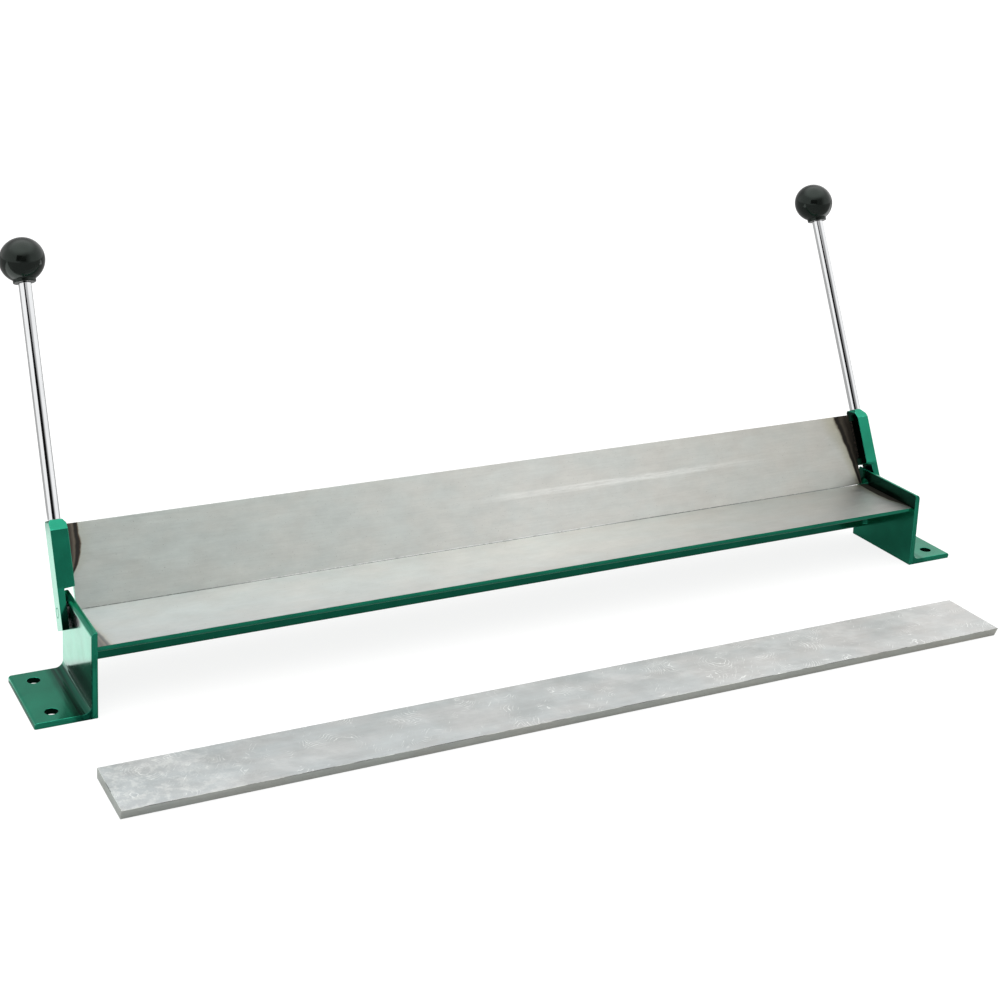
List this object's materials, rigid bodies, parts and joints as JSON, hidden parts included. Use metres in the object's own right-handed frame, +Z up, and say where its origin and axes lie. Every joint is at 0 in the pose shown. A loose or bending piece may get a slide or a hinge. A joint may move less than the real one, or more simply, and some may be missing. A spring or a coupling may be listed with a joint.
{
  "type": "sheet metal bender",
  "caption": "Bench sheet-metal bender with a fixed bed on end brackets, a hinged bending leaf with rod handles and ball knobs, and a loose clamp bar.",
  "frame": {"origin": "centre of the four foot bolt holes, on the bench top under the feet", "axes": "+X along the bed to the user's right, +Y away from the user, +Z up"},
  "size_m": [0.856, 0.3593, 0.3202],
  "materials": {
    "ground_steel": "ground bare steel on the working faces, green gloss enamel elsewhere",
    "bar_steel": "bare ground flat bar with swirl marks",
    "green_paint": "green gloss enamel",
    "painted_weld": "green gloss enamel over weld bead",
    "pin_steel": "turned steel",
    "rod_chrome": "bright chrome plate",
    "knob_plastic": "polished black moulding",
    "bush_brass": "turned brass"
  },
  "bodies": {
    "frame": {"bed": "ground_steel", "left_bracket": "green_paint", "right_bracket": "green_paint", "left_bed_weld": "painted_weld", "right_bed_weld": "painted_weld", "left_skirt_weld": "painted_weld", "right_skirt_weld": "painted_weld"},
    "leaf_group": {"leaf": "ground_steel", "left_arm": "green_paint", "right_arm": "green_paint", "left_leaf_weld": "painted_weld", "right_leaf_weld": "painted_weld", "left_hinge_pin": "pin_steel", "right_hinge_pin": "pin_steel", "left_spacer": "pin_steel", "right_spacer": "pin_steel", "left_rod": "rod_chrome", "right_rod": "rod_chrome", "left_knob": "knob_plastic", "right_knob": "knob_plastic", "left_knob_bush": "bush_brass", "right_knob_bush": "bush_brass"},
    "loose_bar": {"clamp_bar": "bar_steel"}
  },
  "joints": [
    {"name": "leaf_hinge", "type": "hinge", "parent": "frame", "child": "leaf_group", "pos_m": [0, 0.03, 0.055], "axis": [1, 0, 0], "range_deg": [-64, 45]},
    {"name": "clamp_bar_lift", "type": "slide", "parent": "frame", "child": "loose_bar", "axis": [0, 0, 1], "range_m": [0, 0.1]}
  ]
}
